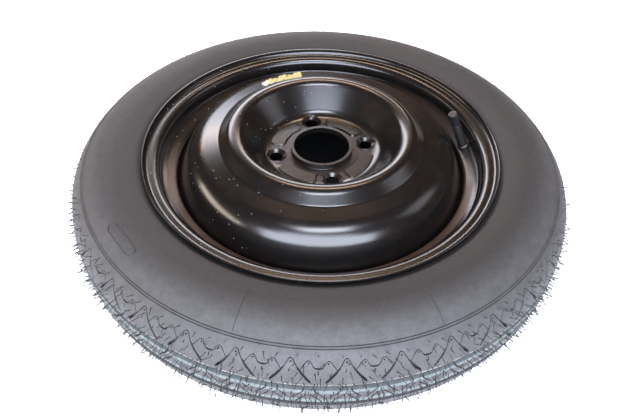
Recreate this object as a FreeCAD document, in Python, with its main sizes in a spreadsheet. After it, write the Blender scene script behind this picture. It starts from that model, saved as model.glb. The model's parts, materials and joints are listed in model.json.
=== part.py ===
"""Temporary spare wheel: a narrow tyre on a rolled steel rim with a welded pressed disc and a snap-in valve.

The wheel lies flat with its outer face up. The origin is the centre of the bolt circle on the mounting face, and
+Z is the axle line, pointing away from the car. Heights among the dimensions are measured from the wheel's centre
plane, which lies below the mounting face. Lengths are in millimetres, angles in degrees.
"""

import FreeCAD
import Part
import Sketcher
import math
import os

from FreeCAD import Placement, Rotation, Vector

# Driving dimensions: name, value, what it is.
DIMENSIONS = [
    ("bead_seat_radius", 190.1, "rim radius under the heel of the tyre's bead"),
    ("rim_width", 101.6, "between the faces of the two flanges"),
    ("rim_gauge", 2.6, "thickness of the rolled rim strip"),
    ("flange_tip_radius", 206.2, "outer radius of the rim's rolled edge"),
    ("flange_reach", 9.6, "how far the rolled edge stands past the flange face"),
    ("flange_curl", 5.2, "bend radius inside the rolled edge"),
    ("heel_bend", 7.6, "bend radius between bead seat and flange"),
    ("bead_seat_width", 14.8, "from the flange face to the edge of the well"),
    ("bead_seat_drop", 1.2, "fall of the tapered bead seat over its width"),
    ("well_radius", 172.9, "tyre side of the well's floor"),
    ("well_wall_drop", 7.5, "how far the well's side wall slopes along the axle line"),
    ("well_bend", 4.6, "bend radius at the two edges of the well's side wall"),
    ("disc_gauge", 3.6, "thickness of the pressed disc"),
    ("bore_radius", 32.55, "centre bore that the hub's spigot fills"),
    ("mounting_height", 44.4, "mounting face above the wheel's centre plane"),
    ("collar_height", 10.0, "drawn collar of the bore, above the mounting face"),
    ("collar_bend", 2.6, "bend radius at the foot of the collar"),
    ("face_radius", 67.0, "corner between the bolt face and the bowl"),
    ("bowl_bend", 8.0, "bend radius between the bolt face and the bowl"),
    ("crest_radius", 99.0, "corner at the top of the bowl"),
    ("crest_height", 84.5, "height of that corner above the centre plane"),
    ("crest_bend", 8.5, "bend radius over the crest"),
    ("crease_radius", 117.5, "ring where the crest meets the shoulder"),
    ("crease_height", 70.2, "height of that ring above the centre plane"),
    ("crease_bend", 5.0, "bend radius in the crease"),
    ("shoulder_radius", 147.5, "corner of the disc's shoulder"),
    ("shoulder_height", 63.8, "height of that corner above the centre plane"),
    ("shoulder_bend", 24.0, "bend radius over the shoulder"),
    ("skirt_height", 21.0, "where the sloping skirt turns into the well"),
    ("skirt_bend", 16.0, "bend radius of that turn"),
    ("skirt_length", 19.0, "straight skirt inside the well"),
    ("skirt_clearance", 0.05, "between the pressed-in skirt and the well"),
    ("bolt_circle", 108.0, "diameter through the bolt holes"),
    ("bolt_count", 4, "bolt holes"),
    ("bolt_turn", 14.7, "angle of the first bolt hole"),
    ("bolt_hole_radius", 7.25, "clearance hole for the wheel bolt"),
    ("bolt_seat_radius", 10.4, "outer edge of the coined bolt seat"),
    ("bolt_seat_depth", 2.1, "depth of the coined bolt seat"),
    ("pad_inner_radius", 43.0, "inner edge of the raised pads between the bolt holes"),
    ("pad_outer_radius", 62.5, "outer edge of the raised pads"),
    ("pad_rise", 1.5, "height of the raised pads"),
    ("pad_slope", 1.8, "width of the pads' sloping edge"),
    ("pad_sweep", 52.0, "angle that each raised pad spans"),
    ("weld_count", 8, "weld beads between the disc and the well"),
    ("weld_sweep", 24.0, "angle that each weld bead spans"),
    ("weld_leg", 3.6, "leg of the weld bead"),
    ("weld_clearance", 0.05, "between a weld bead and the steel it joins"),
    ("crown_radius", 289.3, "radius of the tread's middle rib"),
    ("tread_edge_drop", 4.3, "edge between the tread and the buttress, below the crown"),
    ("tread_edge_height", 35.0, "height of that edge"),
    ("buttress_drop", 13.8, "edge between the buttress and the sidewall, below the crown"),
    ("buttress_height", 48.0, "height of that edge"),
    ("bulge_share", 0.5635, "where the sidewall bulges most, as a share of the section's height"),
    ("bulge_height", 67.2, "height of the corner of that bulge"),
    ("bulge_reach", 0.653, "share of the lower sidewall that the round of the bulge takes"),
    ("clinch_gap", 5.8, "corner of the sidewall beside the rim's edge, outside that edge"),
    ("clinch_height", 58.2, "height of that corner"),
    ("clinch_bend", 16.0, "radius beside the rim's edge"),
    ("bead_lift", 10.8, "height of the bead's flat above the bead seat"),
    ("bead_bend", 8.0, "radius where the bead leaves the flange"),
    ("bead_width", 13.4, "width of the bead's foot"),
    ("bead_clearance", 0.25, "between the tyre's bead and the rim"),
    ("bead_height", 8.15, "from the bead's foot to the corner of the liner above it"),
    ("liner_bead_height", 37.6, "height of that corner"),
    ("liner_clinch_gap", 7.8, "corner of the liner inside the clinch, outside the rim's edge"),
    ("liner_clinch_height", 51.4, "height of that corner"),
    ("liner_bulge_share", 0.5333, "corner of the liner inside the bulge, as a share of the section's height"),
    ("liner_bulge_height", 58.4, "height of that corner"),
    ("liner_bulge_reach", 0.785, "share of the lower liner that the round of the bulge takes"),
    ("tread_thickness", 14.3, "from the crown to the liner"),
    ("liner_edge_height", 38.0, "height of that corner"),
    ("liner_edge_bend", 18.0, "radius of the liner under the tread's edge"),
    ("groove_height", 14.2, "middle of each round tread groove above the centre plane"),
    ("groove_width", 7.6, "width of each round tread groove"),
    ("groove_depth", 6.7, "depth of the round tread grooves below the crown"),
    ("pitch_count", 36, "repeats of the tread pattern round the tyre"),
    ("tread_turn", -4.0, "angle by which the tread pattern is turned on the wheel"),
    ("chevron_gap", 2.6, "solid edge between the round groove and the chevron's feet"),
    ("chevron_length", 22.2, "chevron from its feet to its tip, along its floor"),
    ("chevron_lean", 20.0, "lean of the chevron's floor over the buttress"),
    ("chevron_spread", 18.7, "half the spread of the chevron's feet"),
    ("chevron_width", 4.6, "width of the chevron groove along the tyre"),
    ("chevron_drop", 6.4, "chevron's floor at its feet, below the crown"),
    ("valve_turn", 11.5, "angle of the valve round the wheel"),
    ("valve_hole_radius", 5.75, "valve hole in the rim"),
    ("drill_reach", 8.0, "how far a drill passes beyond each face of the steel"),
    ("valve_fit", 0.05, "between the valve's rubber and the rim"),
    ("valve_collar_radius", 7.2, "rubber collar on the outside of the rim"),
    ("valve_collar_height", 2.6, "height of that collar"),
    ("valve_foot_radius", 5.9, "rubber stem above its collar"),
    ("valve_top_radius", 5.0, "rubber stem at its top"),
    ("valve_rubber_height", 37.6, "top of the rubber above the rim"),
    ("valve_bulb_radius", 7.6, "rubber bulb on the tyre's side"),
    ("valve_bulb_length", 10.5, "length of the bulb"),
    ("valve_tail_radius", 5.4, "end of the bulb"),
    ("valve_corner", 0.9, "rounding of the rubber's corners"),
    ("stem_radius", 3.85, "brass stem, over its thread"),
    ("stem_bore", 2.65, "bore for the valve core"),
    ("stem_throat", 2.2, "air passage below the core's seat"),
    ("stem_height", 51.6, "end of the brass stem above the rim"),
    ("seat_height", 40.2, "core's seat in the stem, above the rim"),
    ("core_clearance", 0.05, "between the core's fixed pieces"),
    ("core_thread_gap", 0.15, "between the core's plug and the stem"),
    ("plug_length", 6.2, "core plug"),
    ("plug_recess", 0.8, "core plug below the stem's end"),
    ("plug_bridge", 1.5, "thickness of the plug's guide for the pin"),
    ("seal_length", 3.4, "core's seal ring"),
    ("barrel_radius", 2.0, "core barrel"),
    ("barrel_bore", 1.5, "room for the core's spring"),
    ("barrel_floor", 1.4, "thickness of the barrel's floor, under the spring"),
    ("barrel_length", 8.2, "core barrel"),
    ("pin_radius", 0.55, "core pin"),
    ("pin_guide_gap", 0.3, "air gap between the pin and its guides"),
    ("pin_recess", 0.9, "pin's end below the stem's end"),
    ("pin_flange_radius", 1.25, "flange that the spring lifts"),
    ("pin_flange_height", 0.6, "thickness of that flange"),
    ("cup_radius", 1.75, "sealing cup at the pin's foot"),
    ("cup_height", 2.0, "sealing cup"),
    ("spring_radius", 1.05, "core spring, at its wire's middle"),
    ("spring_wire", 0.17, "radius of the spring's wire"),
    ("spring_turns", 5, "turns of the core spring"),
    ("cap_radius", 5.1, "valve cap"),
    ("cap_gap", 0.4, "between the cap's rim and the rubber"),
    ("cap_thread_gap", 0.15, "between the cap and the stem's thread"),
    ("cap_roof", 2.6, "thickness of the cap's end"),
    ("cap_corner", 0.8, "rounding of the cap's end"),
    ("cap_seal_height", 1.2, "rubber disc inside the cap"),
    ("cap_seal_gap", 0.1, "between that disc and its neighbours"),
    ("label_inner_radius", 119.8, "inner edge of the torn label"),
    ("label_outer_radius", 130.5, "outer edge of the torn label"),
    ("label_start", 103.5, "angle at which the label begins"),
    ("label_sweep", 25.0, "angle that the label spans"),
    ("label_thickness", 0.2, "film and glue of the label"),
    ("label_clearance", 0.05, "between the label and the paint"),
]

# Where along a line, from its corner, a bend is picked.
bend_pick = 0.3

doc = FreeCAD.newDocument("spare_wheel")
sheet = doc.addObject("Spreadsheet::Sheet", "sheet")


class Size:
    """A length or angle: the formula that binds it to the sheet, and its value."""

    def __init__(self, formula, value):
        self.formula = formula
        self.value = value

    def __add__(self, other):
        other = as_size(other)
        return Size(f"({self.formula} + {other.formula})", self.value + other.value)

    def __sub__(self, other):
        other = as_size(other)
        return Size(f"({self.formula} - {other.formula})", self.value - other.value)

    def __mul__(self, other):
        other = as_size(other)
        return Size(f"({self.formula} * {other.formula})", self.value * other.value)

    def __truediv__(self, other):
        other = as_size(other)
        return Size(f"({self.formula} / {other.formula})", self.value / other.value)

    def __neg__(self):
        return Size(f"(0 - {self.formula})", -self.value)

    def __rsub__(self, other):
        return as_size(other) - self

    def __rtruediv__(self, other):
        return as_size(other) / self

    __radd__ = __add__
    __rmul__ = __mul__


def as_size(value):
    """A plain number is a size that nothing drives."""
    return value if isinstance(value, Size) else Size(repr(float(value)), float(value))


def square_root(size):
    return Size(f"sqrt({size.formula})", math.sqrt(size.value))


def cosine(size):
    return Size(f"cos({size.formula} * 1deg)", math.cos(math.radians(size.value)))


def sine(size):
    return Size(f"sin({size.formula} * 1deg)", math.sin(math.radians(size.value)))


def fill_sheet():
    """Writes the driving dimensions to the sheet and returns them by name."""
    sizes = {}
    for row, (name, value, note) in enumerate(DIMENSIONS, 1):
        sheet.set(f"A{row}", name)
        sheet.set(f"B{row}", str(value))
        sheet.set(f"C{row}", note)
        sheet.setAlias(f"B{row}", name)
        sizes[name] = Size(f"sheet.{name}", float(value))
    doc.recompute()
    return sizes


def bind(item, prop, size):
    """Ties one property of an object to a size."""
    size = as_size(size)
    item.setExpression(prop, size.formula)


def draw(sketch, corners, closed):
    """Draws an outline through corners (across, up, bend radius or None), each tied to its sizes."""
    corners = [(as_size(c[0]), as_size(c[1]), c[2] if len(c) > 2 else None) for c in corners]
    points = [Vector(across.value, up.value, 0) for across, up, bend in corners]
    count = len(points)
    lines = count if closed else count - 1
    for line in range(lines):
        sketch.addGeometry(Part.LineSegment(points[line], points[(line + 1) % count]), False)
    for line in range(lines if closed else lines - 1):
        sketch.addConstraint(Sketcher.Constraint("Coincident", line, 2, (line + 1) % lines, 1))
    for corner, (across, up, bend) in enumerate(corners):
        end = (corner, 1) if corner < lines else (corner - 1, 2)
        for kind, size in (("DistanceX", across), ("DistanceY", up)):
            index = sketch.addConstraint(Sketcher.Constraint(kind, -1, 1, *end, size.value))
            bind(sketch, f"Constraints[{index}]", size)
    for corner, (across, up, bend) in enumerate(corners):
        if bend is None:
            continue
        before = (corner - 1) % count
        after = (corner + 1) % count
        inward = points[corner] + (points[before] - points[corner]) * bend_pick
        outward = points[corner] + (points[after] - points[corner]) * bend_pick
        arc = sketch.GeometryCount
        sketch.fillet(before, corner, inward, outward, bend.value, True, True)
        index = sketch.addConstraint(Sketcher.Constraint("Radius", arc, bend.value))
        bind(sketch, f"Constraints[{index}]", bend)


def upright_sketch(name, corners, closed):
    """A sketch in the plane of the axle line: across is the radius, up is +Z."""
    sketch = doc.addObject("Sketcher::SketchObject", name)
    sketch.Placement = Placement(Vector(), Rotation(Vector(1, 0, 0), 90))
    draw(sketch, corners, closed)
    return sketch


def spun(name, source, sweep=360.0):
    """A flat shape turned about the axle line."""
    turn = doc.addObject("Part::Revolution", name)
    turn.Source = source
    turn.Axis = Vector(0, 0, 1)
    turn.Base = Vector()
    turn.Solid = True
    bind(turn, "Angle", sweep)
    return turn


def bent_sheet(name, corners, gauge):
    """Sheet steel of one gauge, bent along a line at the middle of its thickness, then spun."""
    line = upright_sketch(name + "_line", corners, False)
    band = doc.addObject("Part::Offset2D", name + "_band")
    band.Source = line
    band.Fill = True
    bind(band, "Value", gauge / 2)
    return spun(name + "_sheet", band)


def origin_part(body, role):
    for part in body.Origin.OriginFeatures:
        if part.Role == role:
            return part


def turned_body(name, corners, placement=Placement()):
    """A body turned about its own Z from a closed outline."""
    body = doc.addObject("PartDesign::Body", name)
    sketch = body.newObject("Sketcher::SketchObject", name + "_outline")
    sketch.AttachmentSupport = [(origin_part(body, "XZ_Plane"), "")]
    sketch.MapMode = "FlatFace"
    draw(sketch, corners, True)
    turn = body.newObject("PartDesign::Revolution", name + "_turn")
    turn.Profile = sketch
    turn.ReferenceAxis = (sketch, ["V_Axis"])
    turn.Angle = 360
    body.Placement = placement
    return body


def cut(name, base, tool):
    result = doc.addObject("Part::Cut", name)
    result.Base = base
    result.Tool = tool
    return result


def joined(name, kind, items):
    result = doc.addObject(kind, name)
    if kind == "Part::Compound":
        result.Links = items
    else:
        result.Shapes = items
    return result


def rod(name, radius, low, high):
    """A cylinder on its own Z, from one height to another."""
    cylinder = doc.addObject("Part::Cylinder", name)
    bind(cylinder, "Radius", radius)
    bind(cylinder, "Height", high - low)
    bind(cylinder, "Placement.Base.z", low)
    return cylinder


def make_rim():
    """The rolled rim, flange to flange, with the valve's hole through the upper wall of its well."""
    half = d["rim_gauge"] / 2
    face = d["rim_width"] / 2
    tip = d["flange_tip_radius"] - half
    upper = [
        (tip, face + d["flange_reach"] - half),
        (tip, face + half, d["flange_curl"] + half),
        (d["bead_seat_radius"] - half, face + half, d["heel_bend"]),
        (d["bead_seat_radius"] - d["bead_seat_drop"] - half, well_edge, d["well_bend"]),
        (d["well_radius"] - half, well_edge - d["well_wall_drop"], d["well_bend"]),
    ]
    lower = [(c[0], -c[1], *c[2:]) for c in reversed(upper)]
    strip = bent_sheet("rim", upper + lower, d["rim_gauge"])
    drill = doc.addObject("Part::Cylinder", "valve_hole")
    bind(drill, "Radius", d["valve_hole_radius"])
    bind(drill, "Height", d["drill_reach"] * 2)
    raised = Placement(Vector(0, 0, d["mounting_height"].value), Rotation())
    drill.Placement = raised * valve_frame * Placement(Vector(0, 0, -d["drill_reach"].value), Rotation())
    return cut("wheel_rim", strip, drill)


def bolt_place(index):
    """Centre of one bolt hole, across and along."""
    angle = d["bolt_turn"] + index * 360.0 / d["bolt_count"]
    return d["bolt_circle"] / 2 * cosine(angle), d["bolt_circle"] / 2 * sine(angle), angle


def make_disc():
    """The pressed disc: collar, bolt face with raised pads, bowl, crest, shoulder and skirt."""
    gauge = d["disc_gauge"]
    half = gauge / 2
    collar = d["bore_radius"] + half
    face = d["mounting_height"] + half
    collar_top = d["mounting_height"] + d["collar_height"]
    skirt = skirt_outside - half
    line = [
        (collar, collar_top),
        (collar, face, d["collar_bend"]),
        (d["face_radius"], face, d["bowl_bend"]),
        (d["crest_radius"], d["crest_height"] - half, d["crest_bend"]),
        (d["crease_radius"], d["crease_height"] - half, d["crease_bend"]),
        (d["shoulder_radius"], d["shoulder_height"] - half, d["shoulder_bend"]),
        (skirt, d["skirt_height"], d["skirt_bend"]),
        (skirt, d["skirt_height"] - d["skirt_length"] + half),
    ]
    facing = rod("collar_facing", d["bore_radius"] + gauge * 2, collar_top, collar_top + gauge)
    pressing = cut("disc_faced", bent_sheet("disc", line, gauge), facing)
    pads = []
    hollows = []
    holes = []
    for index in range(int(d["bolt_count"].value)):
        across, along, angle = bolt_place(index)
        middle = angle + 180.0 / d["bolt_count"]
        pads.append(pad_wedge(f"pad_{index}", face, face + half, middle))
        hollows.append(pad_wedge(f"pad_hollow_{index}", face - gauge, face - half, middle))
        holes.append(bolt_hole(index, face + half, across, along))
    raised = joined("disc_raised", "Part::MultiFuse", [pressing] + pads)
    hollowed = cut("disc_hollowed", raised, joined("pad_hollows", "Part::Compound", hollows))
    return cut("wheel_disc", hollowed, joined("bolt_holes", "Part::Compound", holes))


def pad_wedge(name, foot, level, middle):
    """One raised pad between two bolt holes: a flat-topped arc with sloping edges, standing on a level."""
    inner = d["pad_inner_radius"]
    outer = d["pad_outer_radius"]
    top = level + d["pad_rise"]
    outline = [
        (inner, foot),
        (inner, level),
        (inner + d["pad_slope"], top),
        (outer - d["pad_slope"], top),
        (outer, level),
        (outer, foot),
    ]
    wedge = spun(name, upright_sketch(name + "_outline", outline, True), d["pad_sweep"])
    bind(wedge, "Placement.Rotation.Angle", middle - d["pad_sweep"] / 2)
    return wedge


def bolt_hole(index, level, across, along):
    """A clearance hole with its coined conical seat, as one cutting tool."""
    drill = rod(f"bolt_drill_{index}", d["bolt_hole_radius"], level - d["drill_reach"], level + d["drill_reach"])
    seat = doc.addObject("Part::Cone", f"bolt_seat_{index}")
    bind(seat, "Radius1", d["bolt_hole_radius"])
    bind(seat, "Radius2", d["bolt_seat_radius"])
    bind(seat, "Height", d["bolt_seat_depth"])
    bind(seat, "Placement.Base.z", level - d["bolt_seat_depth"])
    for tool in (drill, seat):
        bind(tool, "Placement.Base.x", across)
        bind(tool, "Placement.Base.y", along)
    return joined(f"bolt_hole_{index}", "Part::MultiFuse", [drill, seat])


def make_welds():
    """Fillet weld beads where the skirt's edge meets the well."""
    outside = d["well_radius"] - d["rim_gauge"] - d["weld_clearance"]
    top = d["skirt_height"] - d["skirt_length"] - d["weld_clearance"]
    bead = [(outside, top), (outside - d["weld_leg"], top), (outside, top - d["weld_leg"])]
    beads = []
    for index in range(int(d["weld_count"].value)):
        outline = upright_sketch(f"weld_outline_{index}", bead, True)
        weld = spun(f"weld_{index}", outline, d["weld_sweep"])
        bind(weld, "Placement.Rotation.Angle", index * 360.0 / d["weld_count"])
        beads.append(weld)
    return joined("disc_welds", "Part::Compound", beads)


def make_tyre():
    """The moulded tyre: a hollow ring open at its beads, with round grooves and shoulder chevrons."""
    crown = d["crown_radius"]
    seat = d["bead_seat_radius"] + d["bead_clearance"]
    face = d["rim_width"] / 2 - d["bead_clearance"]
    section = crown - d["bead_seat_radius"]
    clinch = (d["flange_tip_radius"] + d["clinch_gap"], d["clinch_height"])
    bulge = (d["bead_seat_radius"] + section * d["bulge_share"], d["bulge_height"])
    buttress = (crown - d["buttress_drop"], d["buttress_height"])
    outside = [
        (seat, face, d["heel_bend"] - d["rim_gauge"] / 2),
        (seat + d["bead_lift"], face, d["bead_bend"]),
        (*clinch, d["clinch_bend"]),
        (*bulge, round_over(clinch, bulge, buttress, d["bulge_reach"])),
        buttress,
        (crown - d["tread_edge_drop"], d["tread_edge_height"]),
        (crown, d["groove_height"]),
    ]
    liner_clinch = (d["flange_tip_radius"] + d["liner_clinch_gap"], d["liner_clinch_height"])
    liner_bulge = (d["bead_seat_radius"] + section * d["liner_bulge_share"], d["liner_bulge_height"])
    liner_edge = (crown - d["tread_thickness"], d["liner_edge_height"])
    liner = [
        (seat, face - d["bead_width"]),
        (seat + d["bead_height"], d["liner_bead_height"]),
        liner_clinch,
        (*liner_bulge, round_over(liner_clinch, liner_bulge, liner_edge, d["liner_bulge_reach"])),
        (*liner_edge, d["liner_edge_bend"]),
    ]
    outline = outside + mirrored(outside) + mirrored(list(reversed(liner))) + list(reversed(liner))
    tyre = turned_body("tyre", outline)
    cut_round_grooves(tyre)
    cut_chevrons(tyre)
    bind(tyre, "Placement.Rotation.Angle", d["tread_turn"])
    return tyre


def round_over(before, corner, after, share):
    """Bend radius at a corner whose round takes a share of the line that leads to it."""
    in_x, in_y = corner[0] - before[0], corner[1] - before[1]
    out_x, out_y = after[0] - corner[0], after[1] - corner[1]
    in_length = square_root(in_x * in_x + in_y * in_y)
    out_length = square_root(out_x * out_x + out_y * out_y)
    along = in_x * out_x + in_y * out_y
    turned = in_y * out_x - in_x * out_y
    return in_length * share * (in_length * out_length + along) / turned


def mirrored(corners):
    """The same corners below the centre plane, in the opposite order."""
    return [(c[0], -c[1], *c[2:]) for c in reversed(corners)]


def cut_round_grooves(tyre):
    """Two grooves that run right round the tread."""
    low = d["groove_height"] - d["groove_width"] / 2
    high = d["groove_height"] + d["groove_width"] / 2
    floor = d["crown_radius"] - d["groove_depth"]
    past = d["crown_radius"] + d["groove_depth"]
    sketch = tyre.newObject("Sketcher::SketchObject", "round_groove_outline")
    sketch.AttachmentSupport = [(origin_part(tyre, "XZ_Plane"), "")]
    sketch.MapMode = "FlatFace"
    draw(sketch, [(floor, low), (past, low), (past, high), (floor, high)], True)
    groove = tyre.newObject("PartDesign::Groove", "round_groove")
    groove.Profile = sketch
    groove.ReferenceAxis = (sketch, ["V_Axis"])
    groove.Angle = 360
    doc.recompute()
    pair = tyre.newObject("PartDesign::Mirrored", "round_groove_pair")
    pair.Originals = [groove]
    pair.MirrorPlane = (origin_part(tyre, "XY_Plane"), [""])
    tyre.Tip = pair


def cut_chevrons(tyre):
    """Chevron grooves that climb from each round groove over the shoulder, repeated round the tyre."""
    wide = d["chevron_spread"] + d["chevron_width"] / 2
    narrow = d["chevron_spread"] - d["chevron_width"] / 2
    chevron = [
        (0.0, d["chevron_length"]),
        (wide, 0.0),
        (narrow, 0.0),
        (0.0, d["chevron_length"] * narrow / wide),
        (-narrow, 0.0),
        (-wide, 0.0),
    ]
    sketch = tyre.newObject("Sketcher::SketchObject", "chevron_outline")
    sketch.AttachmentSupport = [(origin_part(tyre, "XZ_Plane"), "")]
    sketch.MapMode = "FlatFace"
    sketch.AttachmentOffset = Placement(Vector(), Rotation(Vector(1, 0, 0), -d["chevron_lean"].value))
    bind(sketch, "AttachmentOffset.Base.y", d["groove_height"] + d["groove_width"] / 2 + d["chevron_gap"])
    bind(sketch, "AttachmentOffset.Base.z", d["crown_radius"] - d["chevron_drop"])
    draw(sketch, chevron, True)
    pocket = tyre.newObject("PartDesign::Pocket", "chevron")
    pocket.Profile = sketch
    pocket.Reversed = True
    bind(pocket, "Length", d["tread_thickness"])
    doc.recompute()
    pair = tyre.newObject("PartDesign::MultiTransform", "tread_pattern")
    pair.Originals = [pocket]
    flip = tyre.newObject("PartDesign::Mirrored", "chevron_flip")
    flip.MirrorPlane = (origin_part(tyre, "XY_Plane"), [""])
    ring = tyre.newObject("PartDesign::PolarPattern", "chevron_ring")
    ring.Axis = (origin_part(tyre, "Z_Axis"), [""])
    ring.Angle = 360
    bind(ring, "Occurrences", d["pitch_count"])
    pair.Transformations = [flip, ring]
    tyre.Tip = pair


def make_valve():
    """The snap-in valve, on its own axis with its rim seat at zero: rubber, stem, core, cap and seals."""
    gap = d["core_clearance"]
    hole = d["valve_hole_radius"] - d["valve_fit"]
    inside = -(d["rim_gauge"] + d["valve_fit"])
    tail = inside - d["valve_bulb_length"]
    corner = d["valve_corner"]
    bonded = d["stem_radius"]
    rubber = turned_body("valve_rubber", [
        (bonded, tail),
        (d["valve_tail_radius"], tail, corner),
        (d["valve_bulb_radius"], inside, corner),
        (hole, inside),
        (hole, d["valve_fit"]),
        (d["valve_collar_radius"], d["valve_fit"]),
        (d["valve_collar_radius"], d["valve_collar_height"], corner),
        (d["valve_foot_radius"], d["valve_collar_height"] + corner),
        (d["valve_top_radius"], d["valve_rubber_height"], corner / 2),
        (bonded, d["valve_rubber_height"]),
    ], valve_frame)
    top = d["stem_height"]
    stem = turned_body("valve_stem", [
        (d["stem_throat"], tail),
        (bonded, tail),
        (bonded, top),
        (d["stem_bore"], top),
        (d["stem_bore"], d["seat_height"]),
        (d["stem_throat"], d["seat_height"]),
    ], valve_frame)
    return [rubber, stem] + make_core(gap, top) + make_cap(top)


def make_core(gap, top):
    """The valve core: plug, barrel, seal ring, spring, pin and sealing cup."""
    seal_low = d["seat_height"] + gap
    seal_high = seal_low + d["seal_length"]
    plug_top = top - d["plug_recess"]
    plug_low = plug_top - d["plug_length"]
    barrel_high = plug_low - gap
    barrel_low = barrel_high - d["barrel_length"]
    guide = d["pin_radius"] + d["pin_guide_gap"]
    plug_radius = d["stem_bore"] - d["core_thread_gap"]
    spring_foot = barrel_low + d["barrel_floor"]
    spring_head = plug_top - d["plug_bridge"] - d["pin_flange_height"] - gap
    plug = turned_body("core_plug", [
        (d["barrel_bore"], plug_low),
        (plug_radius, plug_low),
        (plug_radius, plug_top),
        (guide, plug_top),
        (guide, plug_top - d["plug_bridge"]),
        (d["barrel_bore"], plug_top - d["plug_bridge"]),
    ], valve_frame)
    barrel = turned_body("core_barrel", [
        (guide, barrel_low),
        (d["barrel_radius"], barrel_low),
        (d["barrel_radius"], barrel_high),
        (d["barrel_bore"], barrel_high),
        (d["barrel_bore"], spring_foot),
        (guide, spring_foot),
    ], valve_frame)
    seal = turned_body("core_seal", [
        (d["barrel_radius"] + gap, seal_low),
        (d["stem_bore"] - gap, seal_low),
        (d["stem_bore"] - gap, seal_high),
        (d["barrel_radius"] + gap, seal_high),
    ], valve_frame)
    cup_high = barrel_low - gap
    cup_low = cup_high - d["cup_height"]
    pin = turned_body("core_pin", [
        (0.0, cup_low - d["pin_radius"]),
        (d["pin_radius"], cup_low - d["pin_radius"]),
        (d["pin_radius"], spring_head),
        (d["pin_flange_radius"], spring_head),
        (d["pin_flange_radius"], spring_head + d["pin_flange_height"]),
        (d["pin_radius"], spring_head + d["pin_flange_height"]),
        (d["pin_radius"], top - d["pin_recess"]),
        (0.0, top - d["pin_recess"]),
    ], valve_frame)
    cup = turned_body("core_cup", [
        (d["pin_radius"] + gap, cup_low),
        (d["cup_radius"], cup_low),
        (d["cup_radius"], cup_high),
        (d["pin_radius"] + gap, cup_high),
    ], valve_frame)
    return [plug, barrel, seal, pin, cup, make_spring(spring_foot + gap, spring_head - gap)]


def make_spring(low, high):
    """A coil spring between two heights on the valve's axis."""
    wire = d["spring_wire"]
    rise = high - low - wire * 2
    spring = doc.addObject("PartDesign::Body", "core_spring")
    section = spring.newObject("Sketcher::SketchObject", "spring_section")
    section.AttachmentSupport = [(origin_part(spring, "XZ_Plane"), "")]
    section.MapMode = "FlatFace"
    middle = Vector(d["spring_radius"].value, (low + wire).value, 0)
    section.addGeometry(Part.Circle(middle, Vector(0, 0, 1), wire.value), False)
    sizes = [("DistanceX", (-1, 1, 0, 3), d["spring_radius"]), ("DistanceY", (-1, 1, 0, 3), low + wire)]
    for kind, ends, size in sizes + [("Radius", (0,), wire)]:
        index = section.addConstraint(Sketcher.Constraint(kind, *ends, size.value))
        bind(section, f"Constraints[{index}]", size)
    coil = spring.newObject("PartDesign::AdditiveHelix", "spring_coil")
    coil.Profile = section
    coil.ReferenceAxis = (section, ["V_Axis"])
    coil.Mode = "pitch-height-angle"
    bind(coil, "Pitch", rise / d["spring_turns"])
    bind(coil, "Height", rise)
    spring.Placement = valve_frame
    return spring


def make_cap(top):
    """The screw cap over the stem's thread, with the rubber disc that closes on the stem's end."""
    bore = d["stem_radius"] + d["cap_thread_gap"]
    mouth = d["valve_rubber_height"] + d["cap_gap"]
    seal_low = top + d["cap_seal_gap"]
    seal_high = seal_low + d["cap_seal_height"]
    roof_low = seal_high + d["cap_seal_gap"]
    roof = roof_low + d["cap_roof"]
    cap = turned_body("valve_cap", [
        (bore, mouth),
        (d["cap_radius"], mouth),
        (d["cap_radius"], roof, d["cap_corner"]),
        (0.0, roof),
        (0.0, roof_low),
        (bore, roof_low),
    ], valve_frame)
    seal = turned_body("cap_seal", [
        (0.0, seal_low),
        (bore - d["cap_seal_gap"], seal_low),
        (bore - d["cap_seal_gap"], seal_high),
        (0.0, seal_high),
    ], valve_frame)
    return [cap, seal]


def make_label():
    """What is left of a paper label, glued to the disc's shoulder outside the crease."""
    run = d["shoulder_radius"] - d["crease_radius"]
    fall = d["crease_height"] - d["shoulder_height"]
    slope = fall / run
    stretch = square_root(1.0 + slope * slope)
    low = (d["disc_gauge"] / 2 + d["label_clearance"]) * stretch - d["disc_gauge"] / 2
    high = low + d["label_thickness"] * stretch

    def height(radius, lift):
        return d["crease_height"] - slope * (radius - d["crease_radius"]) + lift

    inner = d["label_inner_radius"]
    outer = d["label_outer_radius"]
    outline = upright_sketch("label_outline", [
        (inner, height(inner, low)),
        (outer, height(outer, low)),
        (outer, height(outer, high)),
        (inner, height(inner, high)),
    ], True)
    label = spun("label_remnant", outline, d["label_sweep"])
    bind(label, "Placement.Rotation.Angle", d["label_start"])
    return label


def settle(item):
    """Lowers a piece from the centre plane, where its heights start, so that the mounting face lies at zero."""
    bind(item, "Placement.Base.z", -d["mounting_height"])
    return item


def check(items):
    """Stops if any object failed or any piece has no valid solid."""
    for item in doc.Objects:
        if "Invalid" in item.State or "Error" in item.State:
            raise RuntimeError(f"{item.Label} failed: {item.State}")
    for item in items:
        shape = item.Shape
        if shape.isNull() or not shape.isValid() or not shape.Solids:
            raise RuntimeError(f"{item.Label} has no valid solid")


d = fill_sheet()
skirt_outside = d["well_radius"] - d["rim_gauge"] - d["skirt_clearance"]
well_edge = d["rim_width"] / 2 - d["bead_seat_width"]

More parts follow.
